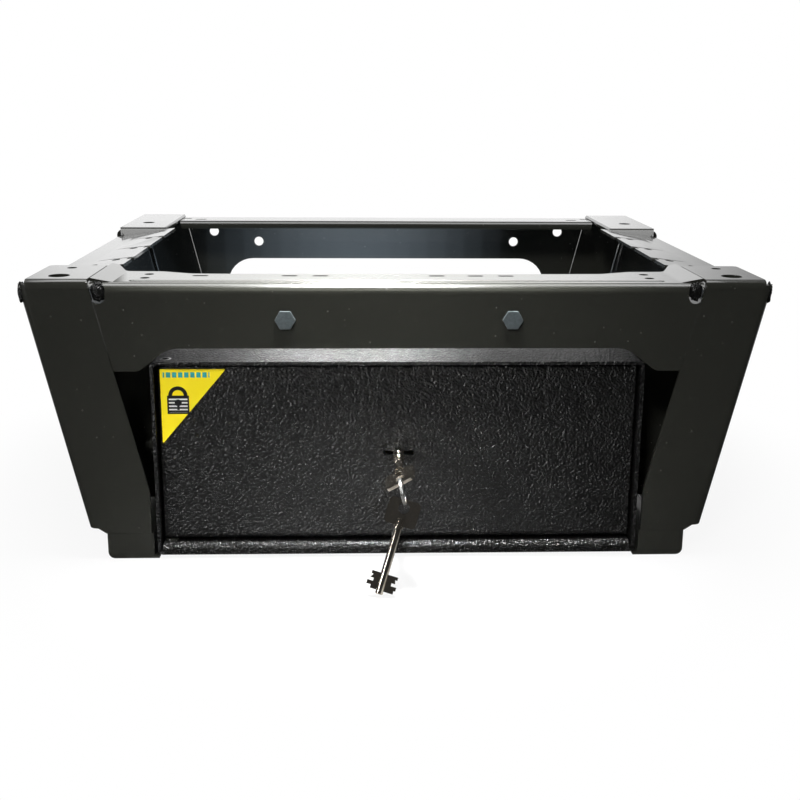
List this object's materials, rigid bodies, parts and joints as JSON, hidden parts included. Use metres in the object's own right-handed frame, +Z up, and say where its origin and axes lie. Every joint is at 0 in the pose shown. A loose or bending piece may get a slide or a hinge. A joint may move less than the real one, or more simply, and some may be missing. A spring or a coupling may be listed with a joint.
{
  "type": "vehicle safe",
  "caption": "Lockable steel safe set into a pressed vehicle seat console, with an inset hinged door, double-bit key and sliding locking bolts.",
  "frame": {"origin": "middle of the four floor bolt holes, at floor level", "axes": "+X to the right as seen from the door side, +Y from the door towards the rear beam, +Z up towards the seat"},
  "size_m": [0.5436, 0.5105, 0.212],
  "materials": {
    "console_paint": "gloss black",
    "safe_paint": "fine-textured black powder coat",
    "zinc_plate": "bright zinc plate",
    "lever_brass": "stamped",
    "key_nickel": "nickel plate",
    "label_film": "glossy film"
  },
  "bodies": {
    "console": {"side_member_left": "console_paint", "side_member_right": "console_paint", "front_beam": "console_paint", "rear_beam": "console_paint", "floor_rail_left": "console_paint", "floor_rail_right": "console_paint", "front_pads": "console_paint", "rear_pads": "console_paint", "safe_body": "safe_paint", "safe_back": "safe_paint", "front_frame": "safe_paint", "hinge_bushes": "zinc_plate", "side_brackets": "console_paint", "side_bolts": "zinc_plate", "side_nuts": "zinc_plate", "beam_bolts": "console_paint", "beam_nuts": "zinc_plate"},
    "door": {"door_plate": "safe_paint", "hinge_blocks": "zinc_plate", "hinge_pins": "zinc_plate", "lock_case": "zinc_plate", "lock_levers": "lever_brass", "lever_post": "zinc_plate", "lock_screws": "zinc_plate", "guide_studs": "zinc_plate", "bolt_guide": "zinc_plate", "lock_cover": "safe_paint", "cover_screws": "zinc_plate", "label": "label_film"},
    "bolt_work": {"lock_bolt": "zinc_plate", "bolt_bar": "zinc_plate", "locking_bolts": "zinc_plate", "bolt_screws": "zinc_plate"},
    "lock_key": {"lock_key": "key_nickel"},
    "key_ring": {"key_ring": "zinc_plate"},
    "spare_key": {"spare_key": "key_nickel"}
  },
  "joints": [
    {"name": "door_hinge", "type": "hinge", "parent": "console", "child": "door", "pos_m": [-0.1707, -0.2094, 0.08025], "axis": [0, 0, -1], "range_deg": [0, 95]},
    {"name": "key_turn", "type": "hinge", "parent": "door", "child": "lock_key", "pos_m": [0, -0.215, 0.08075], "axis": [0, -0.9903, -0.1392], "range_deg": [-30, 150]},
    {"name": "bolt_throw", "type": "slide", "parent": "door", "child": "bolt_work", "axis": [1, 0, 0], "range_m": [-0.0025, 0.0125]},
    {"name": "ring_swing", "type": "hinge", "parent": "lock_key", "child": "key_ring", "pos_m": [0, -0.26243, 0.07408], "axis": [0.9744, 0, 0.225], "range_deg": [-8, 0]},
    {"name": "spare_swing", "type": "hinge", "parent": "key_ring", "child": "spare_key", "pos_m": [0.0033, -0.26601, 0.05979], "axis": [0.0879, 0.9205, -0.3807], "range_deg": [-6, 35]}
  ],
  "couplings": [
    {"joint": "key_turn", "follows": "bolt_throw", "rad_per_m": 209.44}
  ]
}
